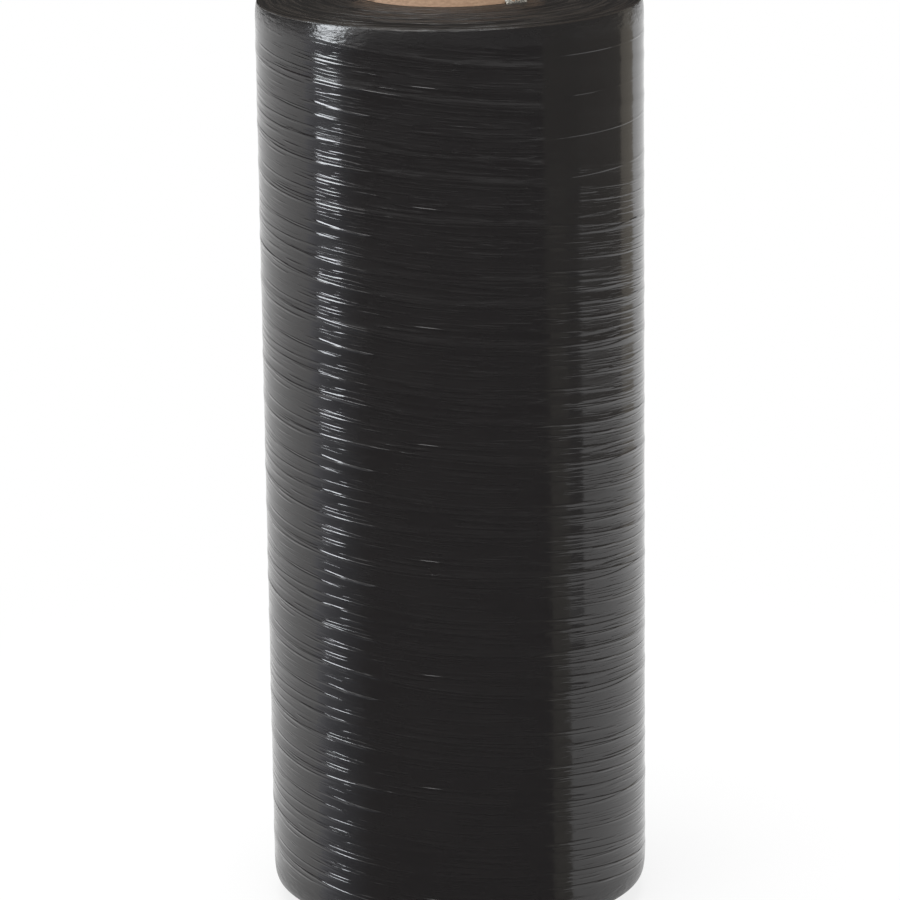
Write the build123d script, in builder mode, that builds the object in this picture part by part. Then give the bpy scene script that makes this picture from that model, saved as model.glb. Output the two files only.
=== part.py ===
"""A stretch wrap roll: black film wound tight on a cardboard core, standing on one end.

Millimetres, +Z up along the core. The origin is at the centre of the core's lower end,
which is the face the roll stands on.
"""

import os

from build123d import *

# The core: a tube of wound kraft board
core_bore = 76.2  # diameter, made to slip over a dispenser's mandrel
core_wall = 8.0
core_overhang = 8.0  # bare core left outside the film at each end
core_edge_break = 0.6  # soft corner where the board was cut to length

# The film wound on it
film_width = 457.2  # across the innermost turns
film_diameter = 190.8
end_crown = 2.6  # how far the outermost turns stop short of the innermost, at each end
neck_length = 10.6  # stretch below each rim where the outer turns draw in
neck_depth = 1.7

# What follows from those sizes
core_radius = core_bore / 2 + core_wall
core_length = film_width + 2 * core_overhang
film_radius = film_diameter / 2
mid_height = core_length / 2
film_top = mid_height + film_width / 2
rim_radius = film_radius - neck_depth
rim_height = film_top - end_crown
neck_start = rim_height - neck_length


with BuildPart() as core_tube:
    with BuildSketch() as board:
        Circle(radius=core_radius)
        Circle(radius=core_bore / 2, mode=Mode.SUBTRACT)
    extrude(amount=core_length)
    cut_ends = faces().filter_by(Axis.Z)
    fillet(cut_ends.edges(), radius=core_edge_break)


with BuildPart() as film_winding:
    with BuildSketch(Plane.XZ) as section:
        with BuildLine() as outline:
            against_core = Line((core_radius, mid_height), (core_radius, film_top))
            end_face = TangentArc(against_core @ 1, (rim_radius, rim_height), tangent=(1, 0))
            neck = EllipticalCenterArc(
                center=(rim_radius, neck_start),
                x_radius=neck_depth,
                y_radius=neck_length,
                start_angle=0,
                arc_size=90,
            )
            outside = Line(neck @ 0, (film_radius, mid_height))
            mirror(about=Plane(origin=(0, mid_height, 0), z_dir=(0, 1, 0)))
        make_face()
    revolve(axis=Axis.Z)


core_tube.part.label = "core_tube"
film_winding.part.label = "film_winding"

os.makedirs("parts", exist_ok=True)
export_step(core_tube.part, "parts/core_tube.step")
export_step(film_winding.part, "parts/film_winding.step")
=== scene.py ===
"""A roll of black stretch film on a kraft core: its finish and its studio.

Metres, +Z up along the core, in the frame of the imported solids. Run as a script.
"""

import math
import random

import bpy
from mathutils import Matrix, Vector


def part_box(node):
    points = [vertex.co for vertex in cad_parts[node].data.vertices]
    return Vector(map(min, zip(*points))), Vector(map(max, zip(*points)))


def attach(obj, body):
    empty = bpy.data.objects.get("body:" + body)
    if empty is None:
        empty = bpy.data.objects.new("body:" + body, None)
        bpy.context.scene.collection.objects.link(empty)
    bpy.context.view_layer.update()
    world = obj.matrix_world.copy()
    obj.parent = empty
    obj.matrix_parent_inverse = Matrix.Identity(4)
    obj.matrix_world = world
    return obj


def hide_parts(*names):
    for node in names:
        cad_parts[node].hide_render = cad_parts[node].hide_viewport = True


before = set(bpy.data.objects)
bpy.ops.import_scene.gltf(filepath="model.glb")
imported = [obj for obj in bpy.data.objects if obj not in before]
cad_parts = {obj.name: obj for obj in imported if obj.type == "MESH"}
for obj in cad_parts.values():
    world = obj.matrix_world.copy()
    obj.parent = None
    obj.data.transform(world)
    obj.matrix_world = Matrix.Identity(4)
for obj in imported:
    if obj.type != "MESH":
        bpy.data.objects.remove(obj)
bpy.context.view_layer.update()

bl_info = {
    "name": "Stretch wrap roll",
    "version": (1, 0, 0),
    "blender": (4, 5, 0),
    "location": "3D View > Sidebar > Roll",
    "description": "Winds black stretch film on a kraft core and sets up its studio",
    "category": "Add Mesh",
}

MM = 0.001

core_low, core_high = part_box("core_tube")
film_low, film_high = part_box("film_winding")
CORE_RADIUS = core_high.x
FILM_RADIUS = film_high.x
FILM_BOTTOM = film_low.z
FILM_TOP = film_high.z
MID_HEIGHT = (FILM_BOTTOM + FILM_TOP) / 2
HALF_WIDTH = (FILM_TOP - FILM_BOTTOM) / 2

# The creases that climb round the roll: their place in one pitch, and how far they stand out
CREASES = ((0.094, 0.22 * MM), (0.066, 0.12 * MM), (0.434, 0.2 * MM), (0.62, 0.14 * MM))
# They sway by this share of a pitch, so often round the roll and so fast up it
CREASE_SWAY = 0.02
SWAYS_ROUND = 3
SWAY_UP = 40
# Finer ridges: rows in a pitch, length, seed, height, width below the crest, share left bare
RIDGES = (
    (8, 60 * MM, 3, 0.2 * MM, 2.4 * MM, 0.47),
    (17, 28 * MM, 11, 0.15 * MM, 2.0 * MM, 0.5),
    (37, 16 * MM, 19, 0.055 * MM, 0.8 * MM, 0.5),
)
# Long single ridges on the smooth patch near the top
STRAY_HEIGHT = 436 * MM
STRAY_STEP = 19.8 * MM
# How far the uneven zone reaches from each rim, and where it is fully uneven
RIM_ZONE = 16 * MM
RIM_CORE = 8 * MM
# The film's free end: its direction from the axis in radians, and how it stands out
TAIL_TURN = 1.9
TAIL_HEIGHT = 0.22 * MM
TAIL_FADE = 25 * MM
# The end faces' material starts where a face looks up or down by this much
END_TILT = 0.4


# ---------------------------------------------------------------- shader maths


class Socket:
    """One shader value. Sums on it add Math nodes to its tree."""

    def __init__(self, nodes, output):
        self.nodes = nodes
        self.output = output

    def maths(self, operation, *others, clamp=False):
        inputs = dict(enumerate((self, *others)))
        return self.nodes.add("ShaderNodeMath", {"operation": operation, "use_clamp": clamp}, inputs)

    def __add__(self, other):
        return self.maths("ADD", other)

    def __sub__(self, other):
        return self.maths("SUBTRACT", other)

    def __mul__(self, other):
        return self.maths("MULTIPLY", other)

    def __truediv__(self, other):
        return self.maths("DIVIDE", other)

    def __abs__(self):
        return self.maths("ABSOLUTE")

    def __rsub__(self, other):
        return (self * -1).maths("ADD", other)

    __radd__ = __add__
    __rmul__ = __mul__


class Nodes:
    """The nodes of one material or world."""

    def __init__(self, owner):
        owner.use_nodes = True
        self.tree = owner.node_tree
        self.tree.nodes.clear()

    def add(self, kind, settings=None, inputs=None, output=None):
        """Adds a node, with its settings first and then its sockets. Gives its first live output,
        or the one named."""
        node = self.tree.nodes.new(kind)
        for name, value in (settings or {}).items():
            setattr(node, name, value)
        for key, value in (inputs or {}).items():
            socket = node.inputs[key] if isinstance(key, int) else self.find(node.inputs, key)
            if isinstance(value, Socket):
                self.tree.links.new(value.output, socket)
            else:
                socket.default_value = value
        if not node.outputs:
            return node
        return Socket(self, self.find(node.outputs, output))

    @staticmethod
    def find(sockets, name):
        return next(s for s in sockets if s.enabled and name in (None, s.name))

    def place(self):
        return self.add("ShaderNodeTexCoord", output="Object")

    def split(self, vector):
        node = self.add("ShaderNodeSeparateXYZ", inputs={"Vector": vector}).output.node
        return [Socket(self, output) for output in node.outputs]

    def join(self, x, y, z):
        return self.add("ShaderNodeCombineXYZ", inputs={"X": x, "Y": y, "Z": z})

    def noise(self, vector, scale=1.0, detail=2.0, rough=0.5):
        sizes = {"Vector": vector, "Scale": scale, "Detail": detail, "Roughness": rough}
        return self.add("ShaderNodeTexNoise", inputs=sizes)

    def ease(self, value, start, end, low=0.0, high=1.0):
        """Low up to start, high from end on, and a smooth change between them."""
        limits = {"Value": value, "From Min": start, "From Max": end, "To Min": low, "To Max": high}
        return self.add("ShaderNodeMapRange", {"interpolation_type": "SMOOTHSTEP"}, limits)

    def blend(self, factor, first, second):
        """A colour between two colours."""
        sides = {"Factor": factor, "A": first, "B": second}
        return self.add("ShaderNodeMix", {"data_type": "RGBA"}, sides)


def colour(values):
    """A colour with its alpha, as sockets take it."""
    return (*values, 1.0)


# ---------------------------------------------------------------- materials


def bump_normal(n, height):
    """The normal of a surface with that height, in metres."""
    return n.add("ShaderNodeBump", inputs={"Strength": 1.0, "Distance": 1.0, "Height": height})


def finish(n, surface):
    """Ends a material in a Principled shader with those sockets."""
    shader = n.add("ShaderNodeBsdfPrincipled", inputs=surface)
    n.add("ShaderNodeOutputMaterial", inputs={"Surface": shader})


def from_axis(n, x, y):
    """How far a place is from the axis."""
    return n.add("ShaderNodeVectorMath", {"operation": "LENGTH"}, {0: n.join(x, y, 0.0)}, output="Value")


def film_wall_material(settings):
    """Glossy black film, seen from outside: thin tension lines that climb round the roll."""
    material = bpy.data.materials.new("film_gloss")
    n = Nodes(material)
    x, y, z = n.split(n.place())
    angle = y.maths("ARCTAN2", x)
    sway = (angle * SWAYS_ROUND + z * SWAY_UP).maths("SINE") * CREASE_SWAY
    climb = z / settings.line_pitch + angle / math.tau
    turn = climb * math.tau
    across, up = turn.maths("COSINE"), turn.maths("SINE")

    def swell(rows, length, seed):
        """A noise drawn out along the climb, with that many rows a pitch, the same at each pitch."""
        reach = rows / math.tau
        vector = n.join(across * reach, up * reach, x / length + seed)
        sizes = {"Vector": vector, "W": y / length, "Scale": 1.0, "Detail": 1.0}
        return n.add("ShaderNodeTexNoise", {"noise_dimensions": "4D"}, sizes)

    def crest(off, above, below):
        """A ridge where off is 0, and how far its sides reach above and below it."""
        return n.ease(off, -below, 0.0) * n.ease(off, 0.0, above, 1.0, 0.0)

    def rows_off(rows, offset):
        """How far up the nearest of so many rows a pitch a place is."""
        return ((climb * rows + offset).maths("FRACT") - 0.5) * (settings.line_pitch / rows)

    def ridges(rows, length, seed, height, below, bare):
        """Ridges at uneven steps, each fading in and out along the roll."""
        jitter = (swell(rows * 0.6, 200 * MM, seed) - 0.5) * 2.4
        fade = n.ease(swell(rows * 1.6, length, seed + 40), bare, bare + 0.13)
        return crest(rows_off(rows, jitter), 0.55 * MM, below) * fade * height

    lines = sum(ridges(*row) for row in RIDGES)
    for i, (level, height) in enumerate(CREASES):
        fade = n.ease(swell(3.0, 60 * MM, 70 + 9 * i), 0.35, 0.5, 0.3, 1.0)
        lines = lines + crest(rows_off(1, sway + (0.5 - level)), 0.6 * MM, 1.5 * MM) * fade * height

    calm = n.ease(z, 0.33, 0.42) * n.ease(x, 0.02, 0.06)
    rim = n.ease(abs(z - MID_HEIGHT), HALF_WIDTH - RIM_ZONE, HALF_WIDTH - RIM_CORE)
    stray_off = (((z - STRAY_HEIGHT) / STRAY_STEP + angle * 0.04).maths("FRACT") - 0.5) * STRAY_STEP
    stray_fade = n.ease(swell(3.0, 50 * MM, 91), 0.4, 0.55, 0.3, 1.0)
    strays = crest(stray_off, 1.5 * MM, 0.5 * MM) * calm * stray_fade * (0.14 * MM)
    fine = n.noise(n.join(x / 0.03, y / 0.03, z / 0.0011), detail=2.0) * (0.035 * MM)
    crumple = n.noise(n.join(x / 0.006, y / 0.006, z / 0.0016), detail=2.0) * (0.35 * MM)
    tail_turn = n.noise(n.join(0.0, 0.0, z / 0.03), detail=2.0) * 0.12 + z * 0.2 + TAIL_TURN
    tail = (angle - tail_turn) * FILM_RADIUS
    tail = n.ease(tail, 0.0, 0.7 * MM) * n.ease(tail, 0.7 * MM, TAIL_FADE, 1.0, 0.0) * TAIL_HEIGHT

    height = lines * (1 - calm * 0.93) * (1 - rim * 0.9)
    height = height + fine * (1 - calm * 0.6) + strays + crumple * rim + tail
    patches = n.noise(n.join(x * 30, y * 30, z * 60), detail=3.0)
    gloss = n.ease(patches, 0.3, 0.7, settings.film_gloss, settings.film_gloss + 0.04)
    finish(n, {
        "Base Color": n.blend(patches, colour(settings.film_colour), colour(settings.film_worn)),
        "Roughness": gloss + rim * 0.14,
        "Anisotropic": 0.9,
        "Anisotropic Rotation": 0.25,
        "IOR": 1.5,
        "Normal": bump_normal(n, height),
    })
    return material


def film_fray_material(settings):
    """Loose film, painted pale for the glints on its crumples (a painted highlight) and darker in its
    creases (painted shade).
    """
    material = bpy.data.materials.new("film_fray_painted_glints")
    n = Nodes(material)
    # Pale blotches are a painted highlight for the glints on the crumpled film; the darker ones are
    # painted shade in its creases
    creases = n.noise(n.place(), scale=1500.0, detail=3.0)
    painted_glint_share = n.ease(creases, 0.4, 0.6)
    film = n.blend(painted_glint_share, colour(settings.fray_painted_crease_shade), colour(settings.fray_painted_glint))
    finish(n, {"Base Color": film, "Roughness": 0.3, "IOR": 1.5})
    return material


def film_end_material(settings):
    """The edges of all the turns, as fine rings, painted lighter on the proud rings as a painted sheen
    and darker on the low rings as painted shade.
    """
    material = bpy.data.materials.new("film_edges")
    n = Nodes(material)
    x, y, z = n.split(n.place())
    radius = from_axis(n, x, y)
    turn_x, turn_y = x / radius, y / radius
    rings = n.noise(n.join(turn_x * 2.5, turn_y * 2.5, radius * 900), detail=2.0)
    steps = n.noise(n.join(turn_x * 2, turn_y * 2, radius * 300), detail=1.0)
    grain = n.noise(n.join(x, y, z), scale=1400.0, detail=2.0)
    # This mask both raises the proud rings and paints them: lighter there as a painted sheen, darker on
    # the low rings as painted shade
    proud_and_painted_sheen = n.ease(rings, 0.42, 0.6)
    height = proud_and_painted_sheen * (0.3 * MM) + steps * (0.5 * MM) + grain * (0.15 * MM)
    finish(n, {
        "Base Color": n.blend(proud_and_painted_sheen, colour(settings.edge_dark_painted_shade), colour(settings.edge_colour_painted_sheen)),
        "Roughness": n.ease(rings, 0.3, 0.7, 0.28, 0.4),
        "IOR": 1.5,
        "Specular IOR Level": 0.45,
        "Normal": bump_normal(n, height),
    })
    return material


def kraft_material(settings):
    """Spiral-wound kraft board."""
    material = bpy.data.materials.new("kraft_board_wound")
    n = Nodes(material)
    place = n.place()
    x, y, z = n.split(place)
    radius = from_axis(n, x, y)
    angle = y.maths("ARCTAN2", x) / math.tau
    spiral = (z / settings.strip_pitch - angle).maths("FRACT")
    seam = n.ease(abs(spiral - 0.5), 0.0, 0.012, 1.0, 0.0)
    fibres = n.noise(n.join(x * 400, y * 400, z * 900), detail=4.0, rough=0.6)
    cloud = n.noise(place, scale=60.0, detail=3.0)
    plies = n.noise(n.join(x / radius, y / radius, radius * 2600), detail=1.0)
    paper = n.blend(n.ease(fibres, 0.35, 0.65), colour(settings.kraft_dark), colour(settings.kraft_light))
    paper = n.blend(n.ease(cloud, 0.4, 0.7, 0.0, 0.5), paper, colour(settings.kraft_colour))
    paper = n.blend(seam * 0.6, paper, colour(settings.kraft_seam))
    height = fibres * (0.05 * MM) + plies * (0.05 * MM) - seam * (0.15 * MM)
    finish(n, {"Base Color": paper, "Roughness": 0.85, "Normal": bump_normal(n, height)})
    return material


# ---------------------------------------------------------------- modelling


def start_alone():
    """Deselects everything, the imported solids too."""
    bpy.ops.object.select_all(action="DESELECT")


def use(piece):
    start_alone()
    piece.select_set(True)
    bpy.context.view_layer.objects.active = piece


def select_where(piece, wanted):
    """In edit mode, selects the vertices for which wanted(co) holds."""
    bpy.ops.object.mode_set(mode="EDIT")
    bpy.ops.mesh.select_mode(type="VERT")
    bpy.ops.mesh.select_all(action="DESELECT")
    bpy.ops.object.mode_set(mode="OBJECT")
    for vertex in piece.data.vertices:
        vertex.select = wanted(vertex.co)
    bpy.ops.object.mode_set(mode="EDIT")


def ring_out(radius_from, radius_to, z_step):
    """Extrudes the selected ring to a new radius and height."""
    bpy.ops.mesh.extrude_edges_move(TRANSFORM_OT_translate={"value": (0, 0, z_step)})
    share = radius_to / radius_from
    bpy.ops.transform.resize(value=(share, share, 1), center_override=(0, 0, 0))


def ripple(piece, name, size, height):
    """Raises soft waves on the piece, each about as long and high as size says."""
    field = bpy.data.objects.new(name + "_field", None)
    field.scale = size
    bpy.context.scene.collection.objects.link(field)
    waves = bpy.data.textures.new(name, "CLOUDS")
    waves.noise_scale = 1.0
    waves.noise_depth = 1
    displace = piece.modifiers.new(name, "DISPLACE")
    displace.texture = waves
    displace.texture_coords = "OBJECT"
    displace.texture_coords_object = field
    displace.strength = height
    displace.mid_level = 1.0
    bpy.context.view_layer.update()
    use(piece)
    bpy.ops.object.modifier_apply(modifier=name)
    bpy.data.objects.remove(field)


def film_profile(settings):
    """The upper half's outline from the core out over the end face and down the neck, as
    (radius, height) pairs."""
    rim_radius = FILM_RADIUS - settings.neck_depth
    rim_height = FILM_TOP - settings.end_crown
    face_width = rim_radius - CORE_RADIUS
    rings = settings.end_rings
    random.seed(11)
    # The first turns stop short, which leaves a groove round the core
    yield CORE_RADIUS, FILM_TOP - 1.4 * MM
    yield CORE_RADIUS + 0.5 * MM, FILM_TOP - 1.2 * MM
    for i in range(1, rings + 1):
        share = i / rings
        crown = settings.end_crown * share**2
        step = random.uniform(-1, 1) * settings.ring_step * (i < rings)
        yield CORE_RADIUS + face_width * share, FILM_TOP - crown - abs(step)
    cuts = settings.neck_cuts
    for i in range(1, cuts + 1):
        turn = math.pi / 2 * (1 - i / cuts)
        radius = rim_radius + settings.neck_depth * math.cos(turn)
        yield radius, rim_height - settings.neck_length * (1 - math.sin(turn))


def film_body(settings):
    """The wound film as one closed solid."""
    start_alone()
    outline = list(film_profile(settings))
    radius, height = outline[0]
    bpy.ops.mesh.primitive_circle_add(
        vertices=settings.sides, radius=radius, fill_type="NOTHING", location=(0, 0, height)
    )
    film = bpy.context.object
    film.name = film.data.name = "film_turns"
    bpy.ops.object.transform_apply(location=True)
    bpy.ops.object.mode_set(mode="EDIT")
    for next_radius, next_height in outline[1:]:
        ring_out(radius, next_radius, next_height - height)
        radius, height = next_radius, next_height
    bpy.ops.mesh.select_all(action="SELECT")
    bpy.ops.mesh.duplicate()
    bpy.ops.transform.resize(value=(1, 1, -1), center_override=(0, 0, MID_HEIGHT))
    bpy.ops.object.mode_set(mode="OBJECT")
    low, high = 2 * MID_HEIGHT - height, height
    near = 0.01 * MM

    def at_neck(p):
        level = min(abs(p.z - low), abs(p.z - high)) < near
        return level and math.hypot(p.x, p.y) > radius - near

    select_where(film, at_neck)
    bpy.ops.mesh.bridge_edge_loops(number_cuts=settings.wall_rows, interpolation="LINEAR")
    bpy.ops.object.mode_set(mode="OBJECT")
    select_where(film, lambda p: math.hypot(p.x, p.y) < CORE_RADIUS + near)
    bpy.ops.mesh.bridge_edge_loops()
    bpy.ops.mesh.select_all(action="SELECT")
    bpy.ops.mesh.remove_doubles(threshold=0.001 * MM)
    bpy.ops.mesh.normals_make_consistent(inside=False)
    bpy.ops.object.mode_set(mode="OBJECT")
    return film


def fray_body():
    """A ruffled scrap of film that sticks out between the core and the first turns."""
    start_alone()
    bpy.ops.mesh.primitive_grid_add(x_subdivisions=90, y_subdivisions=5, size=1)
    fray = bpy.context.object
    fray.name = fray.data.name = "film_fray"
    random.seed(5)
    # Each fold wave: how fast it runs along the scrap, where it starts, and its size in mm
    folds = [
        (random.uniform(6, 26), random.uniform(0, math.tau), random.uniform(0.25, 0.7)) for k in range(7)
    ]
    for vertex in fray.data.vertices:
        along, up = vertex.co.x + 0.5, vertex.co.y + 0.5
        wobble = sum(size * math.sin(along * rate + start + up * 1.3) for rate, start, size in folds)
        turn = math.radians(-58 + 17 * along)
        ends = smooth(along, 0, 0.15) * smooth(along, 1, 0.8)
        radius = CORE_RADIUS + (2.2 + along * 2.6 + wobble * (0.3 + up)) * MM
        height = (-1.2 + up * ends * (2.6 + 0.6 * math.sin(along * 31))) * MM
        vertex.co = (radius * math.cos(turn), radius * math.sin(turn), FILM_TOP + height)
    thick = fray.modifiers.new("thickness", "SOLIDIFY")
    thick.thickness = 0.12 * MM
    use(fray)
    bpy.ops.object.modifier_apply(modifier="thickness")
    bpy.ops.object.mode_set(mode="EDIT")
    bpy.ops.mesh.select_all(action="SELECT")
    bpy.ops.mesh.normals_make_consistent(inside=False)
    bpy.ops.object.mode_set(mode="OBJECT")
    return fray


def smooth(value, start, end):
    """Runs from 0 at start to 1 at end."""
    share = min(max((value - start) / (end - start), 0), 1)
    return share * share * (3 - 2 * share)


def press_creases(film, settings):
    """Draws the wall in a little between the creases, which are left standing."""
    for vertex in film.data.vertices:
        x, y, z = vertex.co
        radius = math.hypot(x, y)
        if radius < FILM_RADIUS - 1.5 * settings.neck_depth:
            continue
        angle = math.atan2(y, x)
        sway = CREASE_SWAY * math.sin(SWAYS_ROUND * angle + SWAY_UP * z)
        climb = z / settings.line_pitch + angle / math.tau + sway
        stands = 0.0
        for level, height in CREASES:
            off = ((climb - level + 0.5) % 1 - 0.5) * settings.line_pitch
            stands = max(stands, height * smooth(off, -7 * MM, 0) * smooth(off, 3.5 * MM, 0))
        clear_of_rim = smooth(abs(z - MID_HEIGHT), HALF_WIDTH, HALF_WIDTH - 15 * MM)
        inward = (CREASES[0][1] - stands) * clear_of_rim
        vertex.co.x *= (radius - inward) / radius
        vertex.co.y *= (radius - inward) / radius


def paint_film(film, settings):
    """Gives the wall one material and the end faces the other."""
    film.data.materials.append(film_wall_material(settings))
    film.data.materials.append(film_end_material(settings))
    for face in film.data.polygons:
        face.material_index = int(abs(face.normal.z) > END_TILT)


# ---------------------------------------------------------------- settings


class FilmSettings(bpy.types.PropertyGroup):
    """Sizes and colours of the wound film."""

    sides: bpy.props.IntProperty(name="Sides", description="Flats round the roll", default=160, min=24)
    wall_rows: bpy.props.IntProperty(name="Wall rows", description="Rings down the wall", default=400)
    end_rings: bpy.props.IntProperty(
        name="End rings", description="Rings across an end face", default=60
    )
    neck_cuts: bpy.props.IntProperty(name="Neck rings", description="Rings down each neck", default=12)
    neck_depth: bpy.props.FloatProperty(
        name="Neck depth", description="How far the rim draws in", default=1.7 * MM, unit="LENGTH"
    )
    neck_length: bpy.props.FloatProperty(
        name="Neck length", description="Height of each neck", default=10.6 * MM, unit="LENGTH"
    )
    end_crown: bpy.props.FloatProperty(
        name="End crown",
        description="How far the rim stops short of the core's turns",
        default=2.6 * MM,
        unit="LENGTH",
    )
    ring_step: bpy.props.FloatProperty(
        name="Ring step", description="Unevenness of the turns' edges", default=0.45 * MM, unit="LENGTH"
    )
    line_pitch: bpy.props.FloatProperty(
        name="Line pitch",
        description="How far a tension line climbs in one turn",
        default=58.2 * MM,
        unit="LENGTH",
    )
    film_gloss: bpy.props.FloatProperty(
        name="Roughness", description="Of the film's gloss", default=0.11, min=0, max=1
    )
    film_colour: bpy.props.FloatVectorProperty(
        name="Film", description="Black of the film", subtype="COLOR", default=(0.0135, 0.0123, 0.0125)
    )
    film_worn: bpy.props.FloatVectorProperty(
        name="Film, thin",
        description="Where the film is stretched thin",
        subtype="COLOR",
        default=(0.0165, 0.0153, 0.0153),
    )
    # The film edges' dark brown with a painted sheen, used on the proud rings
    edge_colour_painted_sheen: bpy.props.FloatVectorProperty(
        name="Film edges",
        description="Lighter rings on the end faces",
        subtype="COLOR",
        default=(0.026, 0.0215, 0.018),
    )
    # Pale colour of the frayed film: a painted highlight for the glints on its crumples
    fray_painted_glint: bpy.props.FloatVectorProperty(
        name="Frayed film",
        description="Creased film at the core",
        subtype="COLOR",
        default=(0.62, 0.6, 0.54),
    )
    # Darker colour of the frayed film: painted shade in its creases
    fray_painted_crease_shade: bpy.props.FloatVectorProperty(
        name="Frayed film, dark",
        description="In its creases",
        subtype="COLOR",
        default=(0.16, 0.15, 0.13),
    )
    # The film edges' dark brown with painted shade, used on the low rings
    edge_dark_painted_shade: bpy.props.FloatVectorProperty(
        name="Film edges, dark",
        description="Darker rings on the end faces",
        subtype="COLOR",
        default=(0.011, 0.0095, 0.0085),
    )


class CoreSettings(bpy.types.PropertyGroup):
    """Sizes and colours of the kraft core."""

    strip_pitch: bpy.props.FloatProperty(
        name="Strip pitch",
        description="Height of one turn of the outer ply",
        default=150 * MM,
        unit="LENGTH",
    )
    kraft_colour: bpy.props.FloatVectorProperty(
        name="Kraft", description="Colour of the board", subtype="COLOR", default=(0.53, 0.345, 0.225)
    )
    kraft_light: bpy.props.FloatVectorProperty(
        name="Kraft, light", description="Light fibres", subtype="COLOR", default=(0.6, 0.4, 0.265)
    )
    kraft_dark: bpy.props.FloatVectorProperty(
        name="Kraft, dark", description="Dark fibres", subtype="COLOR", default=(0.45, 0.285, 0.185)
    )
    kraft_seam: bpy.props.FloatVectorProperty(
        name="Seam", description="Shade in the spiral seam", subtype="COLOR", default=(0.16, 0.09, 0.05)
    )


class StudioSettings(bpy.types.PropertyGroup):
    """Camera and light."""

    distance: bpy.props.FloatProperty(
        name="Distance", description="Camera to roll", default=2.309, unit="LENGTH"
    )
    pitch: bpy.props.FloatProperty(
        name="Pitch", description="Camera looks down by", default=math.radians(15.35), subtype="ANGLE"
    )
    lean: bpy.props.FloatProperty(
        name="Lean",
        description="Camera is turned about its line of sight by",
        default=math.radians(-0.74),
        subtype="ANGLE",
    )
    lens: bpy.props.FloatProperty(name="Lens", description="Focal length in mm", default=183.97)
    aim_side: bpy.props.FloatProperty(
        name="Aim, sideways", description="Aim point from the axis", default=-2.45 * MM, unit="LENGTH"
    )
    aim_drop: bpy.props.FloatProperty(
        name="Aim, down", description="Aim point below the middle", default=4.32 * MM, unit="LENGTH"
    )
    room_light: bpy.props.FloatProperty(
        name="Room light", description="Soft light from all round", default=0.95, min=0
    )
    room_gloss: bpy.props.FloatProperty(
        name="Room in the gloss",
        description="How light the room is in reflections",
        default=0.06,
        min=0,
    )


# ---------------------------------------------------------------- stage


CARD_REACH = 5.0
CARD_LIFT = 1 * MM  # keeps a card clear of the floor
SCREEN_HEIGHT = 0.7
SHADE_STEPS = 5


def add_camera(settings):
    data = bpy.data.cameras.new("camera")
    data.lens = settings.lens
    camera = bpy.data.objects.new("camera", data)
    bpy.context.scene.collection.objects.link(camera)
    back = settings.distance * math.cos(settings.pitch)
    up = settings.distance * math.sin(settings.pitch)
    camera.location = (settings.aim_side, -back, MID_HEIGHT - settings.aim_drop + up)
    camera.rotation_euler = (math.pi / 2 - settings.pitch, 0, 0)
    camera.rotation_euler.rotate_axis("Z", settings.lean)
    bpy.context.scene.camera = camera


def add_world(settings):
    world = bpy.data.worlds.new("studio")
    bpy.context.scene.world = world
    n = Nodes(world)
    seen = n.add("ShaderNodeLightPath", output="Is Camera Ray")
    glossy = n.add("ShaderNodeLightPath", output="Is Glossy Ray")
    room = n.blend(glossy, colour([settings.room_light] * 3), colour([settings.room_gloss] * 3))
    light = n.blend(seen, room, colour((1, 1, 1)))
    background = n.add("ShaderNodeBackground", inputs={"Color": light})
    n.add("ShaderNodeOutputWorld", inputs={"Surface": background})


def add_floor():
    """A pale floor that shows white, and keeps the roll's soft shadow near it."""
    start_alone()
    bpy.ops.mesh.primitive_circle_add(vertices=96, radius=20, fill_type="NGON")
    floor = bpy.context.object
    floor.name = "floor"
    material = bpy.data.materials.new("pale_floor")
    n = Nodes(material)
    camera = n.add("ShaderNodeLightPath", output="Is Camera Ray")
    glossy = n.add("ShaderNodeLightPath", output="Is Glossy Ray")
    glass = n.add("ShaderNodeLightPath", output="Is Transmission Ray")
    paper = n.add("ShaderNodeBsdfDiffuse", inputs={"Color": colour((0.8, 0.8, 0.8))})
    lit = n.add("ShaderNodeEmission", inputs={"Color": colour((1, 1, 1)), "Strength": 1.0})
    x, y, z = n.split(n.place())
    away = from_axis(n, x, y)
    share = (camera + glossy + glass).maths("MINIMUM", 1.0) * n.ease(away, 0.1, 0.6, 0.8, 1.0)
    mixed = n.add("ShaderNodeMixShader", inputs={0: share, 1: paper, 2: lit})
    n.add("ShaderNodeOutputMaterial", inputs={"Surface": mixed})
    floor.data.materials.append(material)


def add_card(name, corners, tone, height=0.0):
    """A card that only the gloss of the roll sees."""
    mesh = bpy.data.meshes.new(name)
    mesh.from_pydata([(x, y, height) for x, y in corners], [], [range(len(corners))])
    card = bpy.data.objects.new(name, mesh)
    bpy.context.scene.collection.objects.link(card)
    material = bpy.data.materials.new(name)
    n = Nodes(material)
    plain = n.add("ShaderNodeEmission", inputs={"Color": colour(tone)})
    n.add("ShaderNodeOutputMaterial", inputs={"Surface": plain})
    mesh.materials.append(material)
    card.visible_camera = False
    card.visible_diffuse = False
    card.visible_shadow = False
    card.visible_transmission = False
    return card


def bearing(angle, distance, start=(0.0, 0.0)):
    """The point that far off in a direction, from the camera's side round to the right."""
    turn = math.radians(angle)
    return start[0] + distance * math.sin(turn), start[1] - distance * math.cos(turn)


def wedge(name, first, second, tone, near=0.0):
    """A card on the floor between two mirror directions off the film."""
    points = []
    for angle, order in ((first, 1), (second, -1)):
        foot = bearing(angle / 2, FILM_RADIUS)
        points += [bearing(angle, near, foot), bearing(angle, CARD_REACH, foot)][::order]
    return add_card(name, points, tone, CARD_LIFT)


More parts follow.
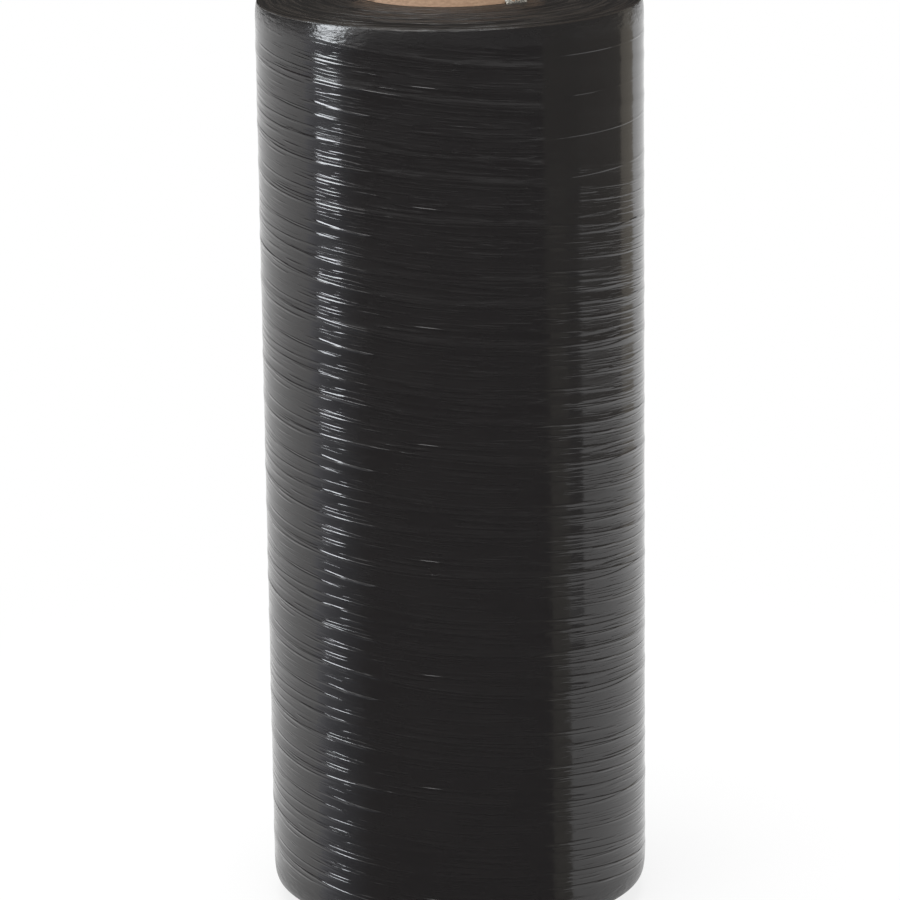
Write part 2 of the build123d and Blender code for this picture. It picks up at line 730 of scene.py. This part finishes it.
def screen(name, first, second, tone, away):
    """A card that stands that far off between two mirror directions off the film."""
    points = [bearing(angle, away, bearing(angle / 2, FILM_RADIUS)) for angle in (first, second)]
    card = add_card(name, points + points[::-1], tone)
    for vertex in card.data.vertices[2:]:
        vertex.co.z = SCREEN_HEIGHT


def shade_floor(name, stops):
    """Cards that shade the floor from one mirror direction to the next, with their tones."""
    for i, ((first, tone), (second, other)) in enumerate(zip(stops, stops[1:])):
        for k in range(SHADE_STEPS):
            share = (k + 0.5) / SHADE_STEPS
            mixed = [p + (q - p) * share for p, q in zip(tone, other)]
            start = first + (second - first) * k / SHADE_STEPS
            end = first + (second - first) * (k + 1) / SHADE_STEPS
            wedge(f"{name}_{i}_{k}", start, end, mixed)


def add_cards():
    """Angles are mirror directions in degrees, from the camera's side round to the right."""
    dark = (0.03, 0.028, 0.03)
    left_shade = [
        (-96, (0.9, 0.92, 1)),
        (-86, (0.5, 0.52, 0.58)),
        (-74, (0.22, 0.24, 0.28)),
        (-56, dark),
    ]
    shade_floor("left_shade", left_shade)
    wedge("front_flag_left", -56, 0, dark)
    wedge("front_flag_right", 0, 60, dark)
    wedge("side_grey", 60, 73, (0.27, 0.26, 0.22))
    wedge("side_dark", 73, 83.5, (0.1, 0.1, 0.1), near=0.5)
    screen("side_screen", 56, 84, (0.15, 0.145, 0.125), away=1.1)
    screen("far_screen", 84, 121, (0.17, 0.16, 0.14), away=1.05)
    screen("far_olive", 121, 138, (0.5, 0.46, 0.39), away=1.05)


def add_lamp(name, place, turned, size, watts):
    """A soft lamp of that width and height. Turned is in degrees."""
    data = bpy.data.lights.new(name, "AREA")
    data.shape = "RECTANGLE"
    data.size, data.size_y = size
    data.energy = watts
    lamp = bpy.data.objects.new(name, data)
    lamp.location = place
    lamp.rotation_euler = [math.radians(angle) for angle in turned]
    bpy.context.scene.collection.objects.link(lamp)
    return lamp


def add_lamps():
    add_lamp("overhead", (-0.3, -0.4, 2.2), (-10, -8, 0), (1.6, 1.6), 40)
    strip = add_lamp("strip", (*bearing(-74, 1.5), 0.85), (72, 0, -74), (0.44, 0.95), 24)
    strip.data.color = (0.92, 0.96, 1.0)
    strip.visible_diffuse = False
    glow = add_lamp("front_glow", (*bearing(-58, 1.5), 1.0), (66, 0, -58), (0.45, 0.9), 2)
    glow.visible_diffuse = False


# ---------------------------------------------------------------- operators


class ROLL_OT_studio(bpy.types.Operator):
    """Sets up the camera, the floor and the soft light"""

    bl_idname = "roll.studio"
    bl_label = "Studio"

    def execute(self, context):
        settings = context.scene.roll_studio
        add_camera(settings)
        add_world(settings)
        add_floor()
        add_cards()
        add_lamps()
        context.scene.view_settings.view_transform = "Standard"
        return {"FINISHED"}


class ROLL_OT_film(bpy.types.Operator):
    """Winds the film"""

    bl_idname = "roll.film"
    bl_label = "Film"

    def execute(self, context):
        settings = context.scene.roll_film
        film = film_body(settings)
        press_creases(film, settings)
        ripple(film, "waves", (70 * MM, 70 * MM, 9 * MM), 0.1 * MM)
        ripple(film, "ridges", (45 * MM, 45 * MM, 3 * MM), 0.05 * MM)
        paint_film(film, settings)
        use(film)
        bpy.ops.object.shade_smooth_by_angle(angle=math.radians(50))
        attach(film, "root")
        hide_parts("film_winding")
        return {"FINISHED"}


class ROLL_OT_fray(bpy.types.Operator):
    """Adds the frayed scrap of film at the core"""

    bl_idname = "roll.fray"
    bl_label = "Frayed film"

    def execute(self, context):
        fray = fray_body()
        fray.data.materials.append(film_fray_material(context.scene.roll_film))
        use(fray)
        bpy.ops.object.shade_smooth_by_angle(angle=math.radians(40))
        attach(fray, "root")
        return {"FINISHED"}


class ROLL_OT_core(bpy.types.Operator):
    """Finishes the core in kraft board"""

    bl_idname = "roll.core"
    bl_label = "Core"

    def execute(self, context):
        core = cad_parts["core_tube"]
        core.data.materials.clear()
        core.data.materials.append(kraft_material(context.scene.roll_core))
        return {"FINISHED"}


class ROLL_PT_panel(bpy.types.Panel):
    """Lists the roll's parts"""

    bl_label = "Stretch wrap roll"
    bl_idname = "ROLL_PT_panel"
    bl_space_type = "VIEW_3D"
    bl_region_type = "UI"
    bl_category = "Roll"

    def draw(self, context):
        for operator in (ROLL_OT_studio, ROLL_OT_film, ROLL_OT_fray, ROLL_OT_core):
            self.layout.operator(operator.bl_idname)


CLASSES = (
    FilmSettings,
    CoreSettings,
    StudioSettings,
    ROLL_OT_studio,
    ROLL_OT_film,
    ROLL_OT_fray,
    ROLL_OT_core,
    ROLL_PT_panel,
)
GROUPS = {"roll_film": FilmSettings, "roll_core": CoreSettings, "roll_studio": StudioSettings}


def register():
    for item in CLASSES:
        bpy.utils.register_class(item)
    for name, group in GROUPS.items():
        setattr(bpy.types.Scene, name, bpy.props.PointerProperty(type=group))


def unregister():
    for name in GROUPS:
        delattr(bpy.types.Scene, name)
    for item in reversed(CLASSES):
        bpy.utils.unregister_class(item)


def main():
    register()
    bpy.ops.roll.studio()
    bpy.ops.roll.film()
    bpy.ops.roll.fray()
    bpy.ops.roll.core()


if __name__ == "__main__":
    main()
